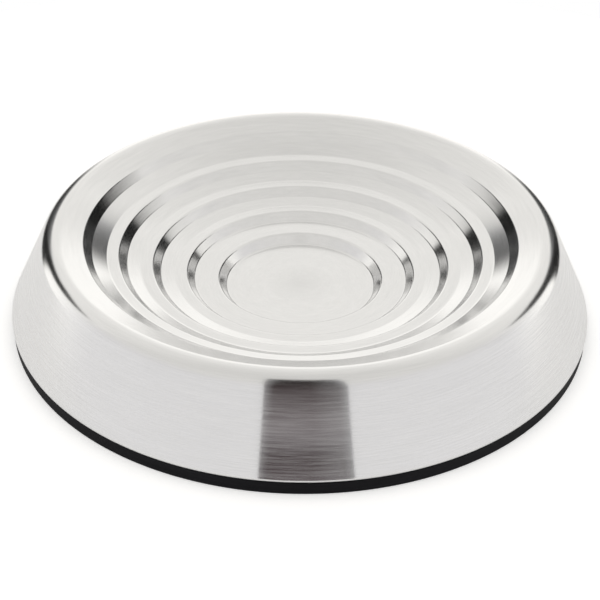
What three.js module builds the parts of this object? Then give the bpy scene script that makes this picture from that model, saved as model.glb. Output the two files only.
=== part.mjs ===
// Shallow stainless steel cat bowl on a black rubber ring.
// Units are millimetres, +Z is up, and the origin is on the axis, level with what the bowl stands on.
import * as THREE from "three";

// Steel sheet, and the radius inside each kind of bend
const sheet = 0.8;
const lipInside = 0.6;
const footInside = 1.0;
const rimInside = 4.7;
const hemInside = 0.2;

// Dish: a flat floor, then five steps going outwards and upwards
const floorRadius = 24.6;
const floorHeight = 8.0;

// Risers: all lean alike, and the first one, which stands on the floor, is taller than the others
const riserRun = 2.5;
const riserRise = 2.75;
const firstRise = 3.1;

// First step: one plain slope from its lip to the foot of the next riser
const slope1Run = 8.0;
const slope1Rise = 0.05;

// Second step: a nearly level land behind its lip, and a slope to the next foot
const land2Run = 3.7;
const land2Rise = -0.1;
const slope2Run = 4.85;
const slope2Rise = 1.15;

// Third step
const land3Run = 3.85;
const land3Rise = 0.05;
const slope3Run = 4.45;
const slope3Rise = 1.75;

// Fourth step
const land4Run = 3.55;
const land4Rise = 0.5;
const slope4Run = 4.8;
const slope4Rise = 2.95;

// Fifth step: the slope that runs up from its lip into the rim
const slope5Run = 11.34;
const slope5Rise = 4.8;

// Skirt: a straight cone that leans out, with its bottom edge turned inwards as a flange
const skirtAngle = 64.2;
const flangeRun = 6.0;

// Rubber ring: a wall under the steel, and a tongue that stands up inside the flange
const ringWall = 4.2;
const ringSetBack = 0.2;
const ringDraft = 0.1;
const ringChamfer = 0.5;
const tongueWall = 2.4;
const tongueRise = 3.4;
const flangeFit = 0.5;

// Facets: sides of the round parts, and how deep a facet may cut into its bend
const sides = 64;
const facetDepth = 0.1;

const steel = new THREE.MeshStandardMaterial({ color: 0xd9dadb, roughness: 0.28, metalness: 1.0 });
const rubber = new THREE.MeshStandardMaterial({ color: 0x1b1b1f, roughness: 0.72, metalness: 0.0 });

// Corner of an outline: where it is, and the radius of the bend that rounds it on the outline itself
function corner(radius, height, bend = 0) {
  return { at: new THREE.Vector2(radius, height), bend };
}

// Vector turned a quarter turn to the left
function leftOf(along) {
  return new THREE.Vector2(-along.y, along.x);
}

// Points that round one corner, each with a normal on the left that spans one unit of sheet
function roundCorner(before, { at, bend }, after) {
  const inward = at.clone().sub(before).normalize();
  const outward = after.clone().sub(at).normalize();
  const turn = Math.atan2(inward.cross(outward), inward.dot(outward));
  if (bend === 0) {
    const along = inward.clone().add(outward).normalize();
    return [{ at, normal: leftOf(along).divideScalar(along.dot(inward)) }];
  }
  const side = Math.sign(turn);
  const start = at.clone().addScaledVector(inward, -bend * Math.tan(Math.abs(turn) / 2));
  const centre = start.clone().addScaledVector(leftOf(inward), side * bend);
  const facetAngle = 2 * Math.acos(Math.max(0, 1 - facetDepth / bend));
  const facets = Math.ceil(Math.abs(turn) / facetAngle);
  return Array.from({ length: facets + 1 }, (_, i) => {
    const normal = leftOf(inward).rotateAround(new THREE.Vector2(), (turn * i) / facets);
    return { at: centre.clone().addScaledVector(normal, -side * bend), normal };
  });
}

// Outline through the corners with every bend rounded
function rounded(corners) {
  return corners.flatMap((current, i) => {
    const before = corners[i - 1];
    const after = corners[i + 1];
    if (before && after) return roundCorner(before.at, current, after.at);
    const along = (after ?? current).at.clone().sub((before ?? current).at).normalize();
    return [{ at: current.at, normal: leftOf(along) }];
  });
}

// Solid of revolution about +Z from an outline of points at radius and height
function turned(name, outline, material) {
  const geometry = new THREE.LatheGeometry(outline, sides).rotateX(Math.PI / 2);
  const mesh = new THREE.Mesh(geometry, material);
  mesh.name = name;
  return mesh;
}

// Stretch of the face: how far it runs outwards and rises
function stretch(run, rise) {
  return new THREE.Vector2(run, rise);
}

const riser = stretch(riserRun, riserRise);
const steps = [
  { riser: stretch(riserRun, firstRise), slope: stretch(slope1Run, slope1Rise) },
  { riser, land: stretch(land2Run, land2Rise), slope: stretch(slope2Run, slope2Rise) },
  { riser, land: stretch(land3Run, land3Rise), slope: stretch(slope3Run, slope3Rise) },
  { riser, land: stretch(land4Run, land4Rise), slope: stretch(slope4Run, slope4Rise) },
  { riser, slope: stretch(slope5Run, slope5Rise) },
];

// Shown face of the sheet, from the axis out over the rim, down the skirt and in under the flange
function shownFace() {
  const lipBend = lipInside + sheet;
  const corners = [corner(0, floorHeight)];
  let foot = new THREE.Vector2(floorRadius, floorHeight);
  for (const step of steps) {
    const lip = foot.clone().add(step.riser);
    const landEnd = step.land ? lip.clone().add(step.land) : lip;
    corners.push(corner(foot.x, foot.y, footInside));
    corners.push(corner(lip.x, lip.y, lipBend));
    if (step.land) corners.push(corner(landEnd.x, landEnd.y));
    foot = landEnd.clone().add(step.slope);
  }
  const rim = foot;
  const skirtFoot = rim.x + (rim.y - ringWall) / Math.tan(THREE.MathUtils.degToRad(skirtAngle));
  corners.push(corner(rim.x, rim.y, rimInside + sheet));
  corners.push(corner(skirtFoot, ringWall, hemInside + sheet));
  corners.push(corner(skirtFoot - flangeRun, ringWall));
  return corners;
}

const face = shownFace();
const shown = rounded(face);
const steelEdge = Math.max(...shown.map(({ at }) => at.x));
const flangeEdge = face.at(-1).at.x;

// The sheet lies between its shown face and the same face moved in by the sheet's thickness
function bowlBody() {
  const hidden = shown.map(({ at, normal }) => at.clone().addScaledVector(normal, -sheet));
  return turned("bowl_body", [...hidden, ...shown.map(({ at }) => at).reverse()], steel);
}

// The ring stands on its flat underside, carries the flange on its ledge, and its tongue stops side play
function rubberRing() {
  const outer = steelEdge - ringSetBack;
  const tongueOuter = flangeEdge - flangeFit;
  const tongueInner = tongueOuter - tongueWall;
  const top = ringWall + tongueRise;
  const outline = [
    corner(tongueInner, 0),
    corner(outer - ringChamfer, 0),
    corner(outer, ringChamfer),
    corner(outer - ringDraft, ringWall),
    corner(tongueOuter, ringWall),
    corner(tongueOuter, top - ringChamfer),
    corner(tongueOuter - ringChamfer, top),
    corner(tongueInner + ringChamfer, top),
    corner(tongueInner, top - ringChamfer),
    corner(tongueInner, 0),
  ].map(({ at }) => at);
  return turned("rubber_ring", outline, rubber);
}

const bowl = new THREE.Group();
bowl.add(bowlBody(), rubberRing());

export default bowl;
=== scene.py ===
# %% [markdown]
# # Shallow steel cat bowl on its rubber ring
# The bowl is one disc of stainless sheet, pressed into five shallow steps, rolled over at the rim
# and flared down into a skirt. A black rubber ring carries its bottom edge and keeps it from
# sliding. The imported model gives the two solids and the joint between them, so everything here
# starts from it.

import math

import bpy
import numpy as np
from mathutils import Matrix, Vector


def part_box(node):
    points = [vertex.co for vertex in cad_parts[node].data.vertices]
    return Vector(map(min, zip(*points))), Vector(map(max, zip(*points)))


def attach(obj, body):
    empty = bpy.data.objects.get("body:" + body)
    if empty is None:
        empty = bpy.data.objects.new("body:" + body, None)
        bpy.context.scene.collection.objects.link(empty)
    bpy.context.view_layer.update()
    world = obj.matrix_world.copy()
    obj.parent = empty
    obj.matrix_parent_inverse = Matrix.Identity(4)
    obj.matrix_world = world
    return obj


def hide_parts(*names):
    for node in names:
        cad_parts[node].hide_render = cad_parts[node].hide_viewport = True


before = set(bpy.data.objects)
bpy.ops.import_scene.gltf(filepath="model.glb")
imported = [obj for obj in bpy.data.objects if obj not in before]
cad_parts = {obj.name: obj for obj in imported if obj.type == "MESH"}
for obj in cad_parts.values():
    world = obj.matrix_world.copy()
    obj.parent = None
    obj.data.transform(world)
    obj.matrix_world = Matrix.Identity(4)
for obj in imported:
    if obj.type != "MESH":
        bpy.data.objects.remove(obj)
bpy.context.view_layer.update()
MM = 0.001
ring_low, ring_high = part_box("rubber_ring")
bowl_low, bowl_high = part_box("bowl_body")
print("ring", [round(v / MM, 2) for v in (*ring_low, *ring_high)])
print("bowl", [round(v / MM, 2) for v in (*bowl_low, *bowl_high)])

# %% [markdown]
# ## The section of the sheet
# On the real bowl every circle is concentric, so one section turned about the axis is the whole
# pressing. The corners below are where the straight stretches would meet, and each carries the
# radius that the press tool leaves there. The lower tool rounds the lips and the upper one the
# feet, so the two radii differ. Three steps have a nearly level land behind the lip, which ends
# in a soft bend. A drawn curve would hide these sizes, so the section stays a list of corners
# with bends.

# %% section corners: radius, height and bend in millimetres
SHEET = 0.8
FOOT_BEND, LIP_BEND, RIM_BEND, HEM_BEND, NO_BEND = 1.0, 1.4, 5.5, 1.0, 0.0
FLOOR_HEIGHT = 8.0
RISER_RUN, RISER_RISE = 2.5, 2.75
LIPS = [(27.1, 11.1), (37.6, 13.9), (48.65, 17.7), (59.45, 22.25), (70.3, 28.45)]
LAND_ENDS = [None, (41.3, 13.8, 3.0), (52.5, 17.75, 3.0), (63.0, 22.75, 2.0), None]
RIM_CORNER = (81.64, 33.25)
SKIRT_FOOT, LEDGE, FLANGE = 95.68, 4.2, 6.0
SECTION = [(0.0, FLOOR_HEIGHT, NO_BEND)]
for step, ((radius, height), land_end) in enumerate(zip(LIPS, LAND_ENDS)):
    foot_height = height - RISER_RISE if step else FLOOR_HEIGHT
    SECTION.append((radius - RISER_RUN, foot_height, FOOT_BEND))
    SECTION.append((radius, height, LIP_BEND))
    if land_end:
        SECTION.append(land_end)
SECTION.append((*RIM_CORNER, RIM_BEND))
SECTION.append((SKIRT_FOOT, LEDGE, HEM_BEND))
SECTION.append((SKIRT_FOOT - FLANGE, LEDGE, NO_BEND))
print("section corners", len(SECTION))

# %% [markdown]
# ## Rounding the corners
# Each corner becomes an arc that touches both of its straight stretches, as a bend in sheet does.
# The exact normal of every point is kept, because the hidden face and the reflections both need
# it.

# %% rounding helpers
BEND_STEP = math.radians(6)


def left_of(v):
    return np.array([-v[1], v[0]])


def unit(v):
    return v / np.linalg.norm(v)


def round_corner(before, corner, after):
    """Points and left-hand normals of the arc that rounds one corner."""
    at, bend = np.array(corner[:2]), corner[2]
    way_in, way_out = unit(at - before), unit(after - at)
    turn = math.atan2(way_in[0] * way_out[1] - way_in[1] * way_out[0], way_in @ way_out)
    side = math.copysign(1.0, turn)
    centre = at - way_in * bend * math.tan(abs(turn) / 2) + left_of(way_in) * side * bend
    count = max(2, math.ceil(abs(turn) / BEND_STEP))
    n = left_of(way_in)
    made = []
    for i in range(count + 1):
        c, s = math.cos(turn * i / count), math.sin(turn * i / count)
        normal = np.array([n[0] * c - n[1] * s, n[0] * s + n[1] * c])
        made.append((centre - side * bend * normal, normal))
    return made


def rounded(corners):
    """The whole outline as points with their left-hand normals, bends rounded."""
    flat = [np.array(c[:2]) for c in corners]
    made = [(flat[0], left_of(unit(flat[1] - flat[0])))]
    for i in range(1, len(corners) - 1):
        made += round_corner(flat[i - 1], corners[i], flat[i + 1])
    made.append((flat[-1], left_of(unit(flat[-1] - flat[-2]))))
    return made


shown = rounded(SECTION)
print("section points", len(shown), "top at", round(max(p[1] for p, _ in shown), 2), "mm")

# %% [markdown]
# ## Turning an outline into a solid
# A spinning lathe makes the real dish's polish, and the same idea makes the mesh: the outline is
# repeated round the axis. Each point keeps the exact normal of the outline, so reflections run
# smoothly over bends that are only a few faces wide. A point on the axis becomes one shared pole
# with a fan of triangles.

# %% lathe helper
TURNS = 360
ON_AXIS = 1e-6


def turned(name, points, normals):
    """A mesh of revolution about +Z from a closed outline in millimetres and its normals."""
    co, no, rows = [], [], []
    for (r, z), (nr, nz) in zip(points, normals):
        count = 1 if r < ON_AXIS else TURNS
        rows.append((len(co), count))
        for i in range(count):
            angle = 2 * math.pi * i / TURNS
            s, c = math.sin(angle), math.cos(angle)
            co.append((r * s * MM, -r * c * MM, z * MM))
            no.append((nr * s, -nr * c, nz))
    faces = []
    for (a, a_count), (b, b_count) in zip(rows, rows[1:] + rows[:1]):
        for i in range(TURNS):
            j = (i + 1) % TURNS
            ring_a = [a + i, a + j] if a_count > 1 else [a]
            ring_b = [b + j, b + i] if b_count > 1 else [b]
            # Two poles have no face between them
            if len(ring_a) + len(ring_b) > 2:
                faces.append(ring_a + ring_b)
    mesh = bpy.data.meshes.new(name)
    mesh.from_pydata(co, [], faces)
    mesh.update()
    piece = bpy.data.objects.new(name, mesh)
    bpy.context.scene.collection.objects.link(piece)
    mesh.shade_smooth()
    mesh.normals_split_custom_set_from_vertices(no)
    return piece


# %% [markdown]
# ## The steel bowl
# The sheet's hidden face follows the shown one at the sheet's thickness, as a pressing does. A
# solidify modifier would thicken a single face too, but the exact normals are known here, so each
# point is moved along its own.

# %% steel bowl
under = [(p - SHEET * n, -n) for p, n in shown]
outline = under + shown[::-1]
bowl = turned("steel_bowl", [p for p, _ in outline], [n for _, n in outline])
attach(bowl, "bowl")
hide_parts("bowl_body")
print("bowl mesh", len(bowl.data.vertices), "points")

# %% [markdown]
# ## The rubber ring
# The ring is a moulded band with soft corners. Its wall shows under the steel, and the ledge that
# carries the steel and the tongue inside it are hidden. A torus would be too round for it, so it
# is turned from an outline as the bowl is. The outline starts and ends on the straight inner
# wall, so that every corner can be rounded.

# %% rubber ring
RING_FOOT = 94.86
DRAFT = 0.1
TONGUE_OUT, TONGUE_IN, TONGUE_TOP = 89.18, 86.78, 7.6
SOFT, INNER_SOFT, CREASE = 0.6, 0.5, 0.2
START_HEIGHT = 2.3
RING = [
    (TONGUE_IN, START_HEIGHT, NO_BEND),
    (TONGUE_IN, 0.0, INNER_SOFT),
    (RING_FOOT, 0.0, SOFT),
    (RING_FOOT - DRAFT, LEDGE, CREASE),
    (TONGUE_OUT, LEDGE, CREASE),
    (TONGUE_OUT, TONGUE_TOP, SOFT),
    (TONGUE_IN, TONGUE_TOP, SOFT),
    (TONGUE_IN, START_HEIGHT, NO_BEND),
]
ring_outline = rounded(RING)[:-1]
ring = turned("non_slip_ring", [p for p, _ in ring_outline], [-n for _, n in ring_outline])
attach(ring, "ring")
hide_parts("rubber_ring")
print("ring mesh", len(ring.data.vertices), "points")

# %% [markdown]
# ## Nodes for the finishes
# A finish is a small graph of nodes. These helpers add a node, feed its inputs and do arithmetic
# between sockets, so each finish below reads as a short list of what it is made of.

# %% node helpers
def new_material(name):
    """A material with its tree and its main shader."""
    material = bpy.data.materials.new(name)
    material.use_nodes = True
    tree = material.node_tree
    return material, tree, tree.nodes["Principled BSDF"]


def add(tree, kind, **values):
    """One node, with its properties and its unlinked inputs set."""
    node = tree.nodes.new(kind)
    for key, value in values.items():
        if hasattr(node, key):
            setattr(node, key, value)
        else:
            node.inputs[key.replace("_", " ")].default_value = value
    return node


def feed(tree, socket, value):
    """A link where the value comes from another node, or else a plain number or colour."""
    if isinstance(value, bpy.types.NodeSocket):
        tree.links.new(value, socket)
    else:
        socket.default_value = value


def maths(tree, operation, *inputs):
    """Output of a math node over sockets and numbers."""
    node = add(tree, "ShaderNodeMath", operation=operation)
    for socket, value in zip(node.inputs, inputs):
        feed(tree, socket, value)
    return node.outputs[0]


# %% [markdown]
# ## Ramps and mixes
# Colours and levels that change from place to place come from two more helpers: a ramp that is
# read by a measure, such as a radius or an angle, and a mix of two colours.

# %% colour helpers
# A Mix node's colour sockets come after those for numbers and vectors
MIX_FIRST, MIX_SECOND, MIX_RESULT = 6, 7, 2


def ramp_over(tree, value, stops, span=None):
    """Colour by value. Stops are (value, grey) or (value, (r, g, b)), and lie within the span."""
    low, high = span or (stops[0][0], stops[-1][0])
    place = add(tree, "ShaderNodeMapRange", From_Min=low, From_Max=high)
    tree.links.new(value, place.inputs["Value"])
    ramp = add(tree, "ShaderNodeValToRGB")
    tree.links.new(place.outputs[0], ramp.inputs[0])
    elements = ramp.color_ramp.elements
    while len(elements) < len(stops):
        elements.new(0.5)
    for element, (at, colour) in zip(elements, stops):
        element.position = (at - low) / (high - low)
        element.color = (*(colour if isinstance(colour, tuple) else (colour,) * 3), 1)
    return ramp.outputs["Color"]


def mixed(tree, factor, first, second, blend_type="MIX"):
    """Colour that goes from the first to the second as the factor goes from 0 to 1."""
    blend = add(tree, "ShaderNodeMix", data_type="RGBA", blend_type=blend_type)
    feed(tree, blend.inputs["Factor"], factor)
    feed(tree, blend.inputs[MIX_FIRST], first)
    feed(tree, blend.inputs[MIX_SECOND], second)
    return blend.outputs[MIX_RESULT]


# %% [markdown]
# ## Marks that run round the axis
# Brushing and moulding both leave marks that run round the bowl. A texture laid on by UVs would
# show a seam, so the noise takes its place from the radius, the height and the direction about
# the axis.

# %% helpers for marks round the axis
def polar(tree):
    """Radius, height and unit direction about the axis, from where a point lies on the object."""
    where = add(tree, "ShaderNodeTexCoord")
    split = add(tree, "ShaderNodeSeparateXYZ")
    tree.links.new(where.outputs["Object"], split.inputs[0])
    x, y, z = split.outputs
    squares = maths(tree, "ADD", maths(tree, "MULTIPLY", x, x), maths(tree, "MULTIPLY", y, y))
    radius = maths(tree, "SQRT", squares)
    safe = maths(tree, "MAXIMUM", radius, 1e-5)
    return radius, z, maths(tree, "DIVIDE", x, safe), maths(tree, "DIVIDE", y, safe)


def streaks(tree, along, way_x, way_y, width, length_count, detail=2.0):
    """Noise drawn out round the axis. Width is in metres; a high length_count gives short marks."""
    vector = add(tree, "ShaderNodeCombineXYZ")
    tree.links.new(maths(tree, "DIVIDE", along, width), vector.inputs[0])
    tree.links.new(maths(tree, "MULTIPLY", way_x, length_count), vector.inputs[1])
    tree.links.new(maths(tree, "MULTIPLY", way_y, length_count), vector.inputs[2])
    noise = add(tree, "ShaderNodeTexNoise", Scale=1.0, Detail=detail, Roughness=0.6)
    tree.links.new(vector.outputs[0], noise.inputs["Vector"])
    return noise.outputs["Fac"]


# %% [markdown]
# ## Steel finish: brush marks
# The real dish is brushed while it spins, so its scratches run round the axis and a highlight
# smears outwards across them. An anisotropic metal does that, with its tangent turned round Z.
# The scratches themselves come from noise that is fine along the section and long round the axis.
# Radius less half the height grows both along the dish and down the skirt, so one noise serves
# the whole sheet.

# %% brush marks
FINE_MARK, SCRATCH_MARK, BROAD_MARK = 0.00035, 0.0004, 0.0022
steel, tree, shader = new_material("spun_steel")
shader.inputs["Anisotropic"].default_value = 0.7
shader.inputs["Anisotropic Rotation"].default_value = 0.25
tangent = add(tree, "ShaderNodeTangent", direction_type="RADIAL", axis="Z")
tree.links.new(tangent.outputs["Tangent"], shader.inputs["Tangent"])
radius, height, way_x, way_y = polar(tree)
along = maths(tree, "SUBTRACT", radius, maths(tree, "MULTIPLY", height, 0.5))
fine = streaks(tree, along, way_x, way_y, FINE_MARK, length_count=9.0)
broad = streaks(tree, along, way_x, way_y, BROAD_MARK, length_count=3.0)
scratch = streaks(tree, along, way_x, way_y, SCRATCH_MARK, length_count=5.0, detail=3.0)
bowl.data.materials.append(steel)
print("brush marks", [round(w / MM, 2) for w in (FINE_MARK, SCRATCH_MARK, BROAD_MARK)], "mm wide")

# %% [markdown]
# ## Steel finish: colour
# Stainless steel is a plain light grey. Brush marks tint it a little, and the middle of the floor
# is painted slightly darker, a painted shade in place of the darker reflection at the spin centre.

# %% steel colour
DULL_STEEL, BRIGHT_STEEL = (0.764, 0.764, 0.764), (0.834, 0.832, 0.832)
FINE_SHARE, BROAD_SHARE = 0.6, 0.4
MARK_LOW, MARK_HIGH = 0.25, 0.75
CENTRE_PAINTED_SHADE = [(0.0, 0.91), (0.0045, 0.95), (0.012, 1.0)]
both = maths(
    tree,
    "ADD",
    maths(tree, "MULTIPLY", fine, FINE_SHARE),
    maths(tree, "MULTIPLY", broad, BROAD_SHARE),
)
tint = ramp_over(tree, both, [(MARK_LOW, DULL_STEEL), (MARK_HIGH, BRIGHT_STEEL)])
# Painted shade: the steel's colour is darkened towards the middle of the floor, standing in for the
# darker reflection there.
centre = ramp_over(tree, radius, CENTRE_PAINTED_SHADE)
colour = mixed(tree, 1.0, tint, centre, blend_type="MULTIPLY")
tree.links.new(colour, shader.inputs["Base Color"])
print("steel colour from", DULL_STEEL, "to", BRIGHT_STEEL)

# %% [markdown]
# ## Steel finish: gloss
# The dish is polished finer than the rim and skirt. On the skirt the brush leaves deeper
# scratches, which scatter a little light all round. They show as pale lines over dark reflections
# and hardly at all over bright ones. A metal that is slightly less metallic along a scratch gives
# that.

# %% steel gloss
DISH_ROUGHNESS, SKIRT_ROUGHNESS = 0.15, 0.17
FINE_DEPTH, SCRATCH_DEPTH = 0.06, 0.2
SCRATCH_LOSS = 0.85
DISH_END, SKIRT_START, FULL_BRUSH = 0.070, 0.080, 0.088
FAINT_SCRATCH, DEEP_SCRATCH = 0.35, 0.65


def around_zero(tree, value, depth):
    """Noise that lies round a half, moved to lie round zero and scaled."""
    return maths(tree, "MULTIPLY", maths(tree, "SUBTRACT", value, 0.5), depth)


polish = ramp_over(tree, radius, [(DISH_END, DISH_ROUGHNESS), (SKIRT_START, SKIRT_ROUGHNESS)])
brushed = ramp_over(tree, radius, [(SKIRT_START, 0.0), (FULL_BRUSH, SCRATCH_DEPTH)])
scratched = ramp_over(tree, scratch, [(FAINT_SCRATCH, 0.0), (DEEP_SCRATCH, SCRATCH_LOSS)])
metal = maths(tree, "SUBTRACT", 1.0, maths(tree, "MULTIPLY", scratched, brushed))
tree.links.new(metal, shader.inputs["Metallic"])
worn = maths(tree, "ADD", polish, around_zero(tree, fine, FINE_DEPTH))
worn = maths(tree, "ADD", worn, around_zero(tree, scratch, brushed))
tree.links.new(worn, shader.inputs["Roughness"])
ripple = add(tree, "ShaderNodeBump", Strength=0.6, Distance=0.000004)
tree.links.new(fine, ripple.inputs["Height"])
tree.links.new(ripple.outputs["Normal"], shader.inputs["Normal"])
print("steel roughness", DISH_ROUGHNESS, "in the dish and", SKIRT_ROUGHNESS, "on the skirt")

# %% [markdown]
# ## Rubber finish
# The ring is moulded from soft black rubber. A mould leaves a very fine pebble and faint flow
# lines round the wall, and handling leaves a greyish bloom, so the colour drifts and the gloss
# stays low.

# %% rubber
FLOW_MARK = 0.0006
DEEP_BLACK, BLOOM_BLACK = (0.005, 0.005, 0.006), (0.010, 0.010, 0.012)
LEAST_ROUGHNESS, PEBBLE_ROUGHNESS = 0.5, 0.2
rubber, tree, shader = new_material("satin_rubber")
_, height, way_x, way_y = polar(tree)
where = add(tree, "ShaderNodeTexCoord")
pebble = add(tree, "ShaderNodeTexNoise", Scale=2600.0, Detail=3.0, Roughness=0.6)
tree.links.new(where.outputs["Object"], pebble.inputs["Vector"])
flow = streaks(tree, height, way_x, way_y, FLOW_MARK, length_count=5.0)
bloom = ramp_over(tree, flow, [(0.3, DEEP_BLACK), (0.75, BLOOM_BLACK)])
tree.links.new(bloom, shader.inputs["Base Color"])
shader.inputs["Specular IOR Level"].default_value = 0.09
pebbled = maths(tree, "MULTIPLY", pebble.outputs["Fac"], PEBBLE_ROUGHNESS)
tree.links.new(maths(tree, "ADD", pebbled, LEAST_ROUGHNESS), shader.inputs["Roughness"])
grain = add(tree, "ShaderNodeBump", Strength=0.5, Distance=0.00004)
tree.links.new(pebble.outputs["Fac"], grain.inputs["Height"])
tree.links.new(grain.outputs["Normal"], shader.inputs["Normal"])
ring.data.materials.append(rubber)
print("rubber roughness", LEAST_ROUGHNESS, "to", LEAST_ROUGHNESS + PEBBLE_ROUGHNESS)

# %% [markdown]
# ## Floor
# White paper lies under the bowl. It has a little glow of its own, so that it stays white to the
# camera while the room stays at a plain level, and it still takes the bowl's shadow. In the
# steel's reflections it glows less, so that the skirt's sides stay a shade darker than the paper
# behind them.

# %% floor
def stage_mesh(name, corners, faces, material):
    """A stage piece from corners in millimetres. It isn't part of the bowl."""
    mesh = bpy.data.meshes.new(name)
    mesh.from_pydata([[v * MM for v in c] for c in corners], [], faces)
    mesh.materials.append(material)
    made = bpy.data.objects.new(name, mesh)
    bpy.context.scene.collection.objects.link(made)
    return made


TABLE_RADIUS = 290
TABLE_SIDES = 96
GLOW, CAMERA_GLOW = 0.16, 0.24
edge = [
    (TABLE_RADIUS * math.cos(a), TABLE_RADIUS * math.sin(a), 0)
    for a in np.linspace(0, 2 * math.pi, TABLE_SIDES + 1)[:-1]
]
paper, tree, shader = new_material("white_paper")
shader.inputs["Base Color"].default_value = (0.9, 0.9, 0.9, 1)
shader.inputs["Roughness"].default_value = 0.9
shader.inputs["Emission Color"].default_value = (1, 1, 1, 1)
path = add(tree, "ShaderNodeLightPath")
seen_glow = maths(tree, "MULTIPLY", path.outputs["Is Camera Ray"], CAMERA_GLOW)
tree.links.new(maths(tree, "ADD", seen_glow, GLOW), shader.inputs["Emission Strength"])
stage_mesh("floor", edge, [tuple(range(TABLE_SIDES))], paper)
print("floor disc", 2 * TABLE_RADIUS, "mm across")

# %% [markdown]
# ## Dark card in front
# Polished steel shows what stands round it more than it shows itself. The dark block on the front
# of the skirt is a narrow card that stands close to the bowl. Only reflections see it. Its glow
# varies with height, because the block is darkest at the top, and it is lighter towards its two
# sides. Both ramps are read by place, in metres.

# %% front card's glow
BY_HEIGHT = [
    (0.0086, (0.12, 0.1, 0.104)),
    (0.0145, (0.05, 0.034, 0.036)),
    (0.019, (0.19, 0.17, 0.175)),
    (0.0245, (0.23, 0.205, 0.21)),
    (0.031, (0.12, 0.1, 0.102)),
    (0.0365, (0.04, 0.026, 0.027)),
    (0.068, (0.01, 0.004, 0.004)),
]
BY_SIDE = [(-0.0145, 0.35), (-0.0115, 0.0), (0.006, 0.0), (0.0185, 0.3), (0.0225, 0.75)]
CARD_SIDES = (0.42, 0.42, 0.42, 1)
card_glow = bpy.data.materials.new("front_card")
card_glow.use_nodes = True
tree = card_glow.node_tree
tree.nodes.clear()
glow = add(tree, "ShaderNodeEmission", Strength=1.0)
tree.links.new(glow.outputs[0], add(tree, "ShaderNodeOutputMaterial").inputs["Surface"])
place = add(tree, "ShaderNodeSeparateXYZ")
tree.links.new(add(tree, "ShaderNodeNewGeometry").outputs["Position"], place.inputs[0])
by_height = ramp_over(tree, place.outputs["Z"], BY_HEIGHT, span=(0.0, 0.07))
by_side = ramp_over(tree, place.outputs["X"], BY_SIDE, span=(-0.018, 0.026))
tree.links.new(mixed(tree, by_side, by_height, CARD_SIDES), glow.inputs["Color"])
print("card glow", BY_HEIGHT[0][1][0], "at the foot and", BY_HEIGHT[-1][1][0], "at the top")

# %% front card's shape in millimetres
CARD_PLACE = -110
CARD_FOOT, CARD_MIDDLE, CARD_TOP = -5, 40, 116
left_edge = [(-20.5, CARD_TOP), (-16.0, CARD_MIDDLE), (-14.0, CARD_FOOT)]
right_edge = [(21.3, CARD_FOOT), (23.2, CARD_MIDDLE), (26.0, CARD_TOP)]
card_corners = [(x, CARD_PLACE, z) for x, z in left_edge + right_edge]
card = stage_mesh("front_card", card_corners, [tuple(range(len(card_corners)))], card_glow)
card.visible_camera = False
card.visible_diffuse = False
card.visible_shadow = False
print("card", CARD_TOP - CARD_FOOT, "mm high")

# %% [markdown]
# ## The studio round the bowl
# Polished steel shows its room, which could be built from walls and lamps. A world shader paints
# it by direction instead, so each level lands where a reflection needs it: elevation above the
# horizon, and azimuth from the back, both in degrees. Where the camera looks past the bowl, the
# world is plain white.

# %% studio
world = bpy.data.worlds.new("studio")
bpy.context.scene.world = world
world.use_nodes = True
tree = world.node_tree
tree.nodes.clear()
seen = add(tree, "ShaderNodeBackground", Strength=1.0)
seen.inputs["Color"].default_value = (1, 1, 1, 1)
tent = add(tree, "ShaderNodeBackground", Strength=1.0)
path = add(tree, "ShaderNodeLightPath")
choose = add(tree, "ShaderNodeMixShader")
tree.links.new(path.outputs["Is Camera Ray"], choose.inputs[0])
tree.links.new(tent.outputs[0], choose.inputs[1])
tree.links.new(seen.outputs[0], choose.inputs[2])
tree.links.new(choose.outputs[0], add(tree, "ShaderNodeOutputWorld").inputs["Surface"])
way = add(tree, "ShaderNodeSeparateXYZ")
tree.links.new(add(tree, "ShaderNodeTexCoord").outputs["Generated"], way.inputs[0])
DEGREES = 180 / math.pi
elevation = maths(tree, "MULTIPLY", maths(tree, "ARCSINE", way.outputs["Z"]), DEGREES)
azimuth = maths(
    tree, "MULTIPLY", maths(tree, "ARCTAN2", way.outputs["X"], way.outputs["Y"]), DEGREES
)
aside = maths(tree, "ABSOLUTE", azimuth)
print("studio world with", len(tree.nodes), "nodes so far")

# %% [markdown]
# ## Light behind the bowl and at its sides
# Behind the bowl the room is brightest near the horizon, and the sides are plain. The light is a
# little warm, as the dish is in the photo. Each ramp goes up from the horizon, and the room blends
# from one to the other between the back and the sides.

# %% room light
def warm(level, green=0.985, blue=0.95):
    """A light level as a colour that leans towards red."""
    return (level, green * level, blue * level)


BACK = [
    (0, warm(1.25)),
    (18, warm(1.2)),
    (28, warm(1.0)),
    (33, warm(0.96)),
    (38, warm(1.0)),
    (43, warm(0.93)),
    (50, warm(0.9)),
    (62, warm(0.85)),
    (74, warm(0.8)),
    (88, warm(0.77)),
]
SIDES = [
    (0, warm(0.88, 0.99, 0.99)),
    (10, warm(0.84, 0.99, 0.99)),
    (28, warm(0.82, 0.985, 0.98)),
    (42, warm(0.82, 0.985, 0.955)),
    (55, warm(0.8)),
    (75, warm(0.78)),
    (88, warm(0.76)),
]
BACK_ENDS, SIDES_START = 58, 95
UPWARDS = (0, 90)
back = ramp_over(tree, elevation, BACK, span=UPWARDS)
sides = ramp_over(tree, elevation, SIDES, span=UPWARDS)


def soft_step(tree, value, low, high):
    """0 below low, 1 above high and smooth between them."""
    step = add(
        tree,
        "ShaderNodeMapRange",
        interpolation_type="SMOOTHSTEP",
        From_Min=low,
        From_Max=high,
    )
    tree.links.new(value, step.inputs["Value"])
    return step.outputs[0]


room = mixed(tree, soft_step(tree, aside, BACK_ENDS, SIDES_START), back, sides)
print("light behind the bowl from", BACK[0][1][0], "at the horizon to", BACK[-1][1][0], "overhead")

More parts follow.
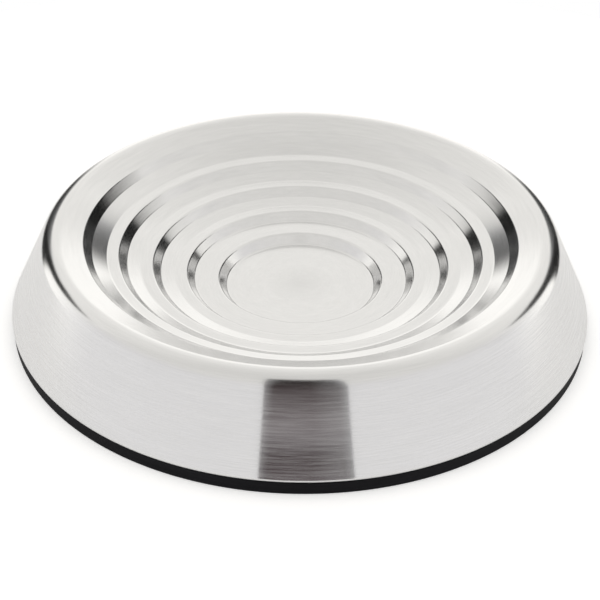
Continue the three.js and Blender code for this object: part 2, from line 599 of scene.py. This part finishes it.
# %% [markdown]
# ## Two dark cloths
# Dark cloths stand behind the bowl, to the left and the right. They make the black arcs that draw
# the rim and every riser. Each cloth's top edge rises outwards, its outer edge leans out, and its
# inner part is thin, so light comes through it and the arcs fade softly. Planes could stand
# there, but painted into the world the cloths need only a top, an outer and an inner edge, and
# each edge can be as soft as it has to be.

# %% cloths
CLOTH_TOPS = [(12, 13), (17, 20), (23, 25.5), (28, 28), (35, 30), (40, 32), (45, 36), (72, 37)]
LAST_TOP = 73
NO_CLOTH, TOP_SPAN = -30, 120
INNER_EDGE = (14.5, 22)
OUTER_LEAN, OUTER_FOOT, OUTER_LEAST = 1.1, 32.3, 51
MIDDLE = 1.5
TOP_BLUR, OUTER_BLUR = 1.5, 3
THIN_ENDS, THICK_STARTS = 33, 37
THIN = [(8, 0.03), (12, 0.06), (16, 0.11), (20, 0.12), (24, 0.18), (28, 0.36), (32, 0.6)]
THICK = (0.005, 0.005, 0.005, 1)


def as_grey(degrees):
    """An angle as a grey level, because a colour ramp holds only 0 to 1."""
    return (degrees - NO_CLOTH) / TOP_SPAN


stops = [(-LAST_TOP, as_grey(NO_CLOTH))]
stops += [(-a, as_grey(t)) for a, t in reversed(CLOTH_TOPS)]
stops += [(a, as_grey(t)) for a, t in CLOTH_TOPS]
stops += [(LAST_TOP, as_grey(NO_CLOTH))]
top = ramp_over(tree, azimuth, stops, span=(-90, 90))
top_degrees = maths(tree, "ADD", maths(tree, "MULTIPLY", top, TOP_SPAN), NO_CLOTH)
under_top = maths(tree, "SUBTRACT", top_degrees, elevation)
inside = soft_step(tree, under_top, -TOP_BLUR, TOP_BLUR)
leaning = maths(tree, "ADD", maths(tree, "MULTIPLY", elevation, OUTER_LEAN), OUTER_FOOT)
outer = maths(tree, "MAXIMUM", leaning, OUTER_LEAST)
from_middle = maths(tree, "ABSOLUTE", maths(tree, "SUBTRACT", azimuth, MIDDLE))
within = maths(tree, "SUBTRACT", outer, from_middle)
inside = maths(tree, "MULTIPLY", inside, soft_step(tree, within, -OUTER_BLUR, OUTER_BLUR))
inside = maths(tree, "MULTIPLY", inside, soft_step(tree, aside, *INNER_EDGE))
thin = ramp_over(tree, elevation, THIN, span=UPWARDS)
cloth = mixed(tree, soft_step(tree, aside, THIN_ENDS, THICK_STARTS), thin, THICK)
tree.links.new(mixed(tree, inside, room, cloth), tent.inputs["Color"])
print("cloth tops from", CLOTH_TOPS[0][1], "to", CLOTH_TOPS[-1][1], "degrees above the horizon")

# %% [markdown]
# ## Camera
# The circles of the rim, the steps and the ring fix the view: the camera looks down at 34 degrees
# from 450 mm away, with a slight roll.

# %% camera
CAMERA_ELEVATION = math.radians(34.305)
CAMERA_ROLL = math.radians(0.885)
CAMERA_DISTANCE = 450
AIM_HEIGHT = 1.175
aim = Vector((0, 0, AIM_HEIGHT)) * MM
lens = bpy.data.cameras.new("camera")
lens.lens = 80.0
lens.sensor_width = 36.0
lens.clip_start = 0.01
lens.clip_end = 20
camera = bpy.data.objects.new("camera", lens)
bpy.context.scene.collection.objects.link(camera)
back_up = Vector((0, -math.cos(CAMERA_ELEVATION), math.sin(CAMERA_ELEVATION)))
camera.matrix_world = (
    Matrix.Translation(aim + CAMERA_DISTANCE * MM * back_up)
    @ Matrix.Rotation(math.pi / 2 - CAMERA_ELEVATION, 4, "X")
    @ Matrix.Rotation(CAMERA_ROLL, 4, "Z")
)
bpy.context.scene.camera = camera
bpy.context.scene.view_settings.view_transform = "Standard"
print("camera at", [round(v / MM) for v in camera.matrix_world.translation], "mm")
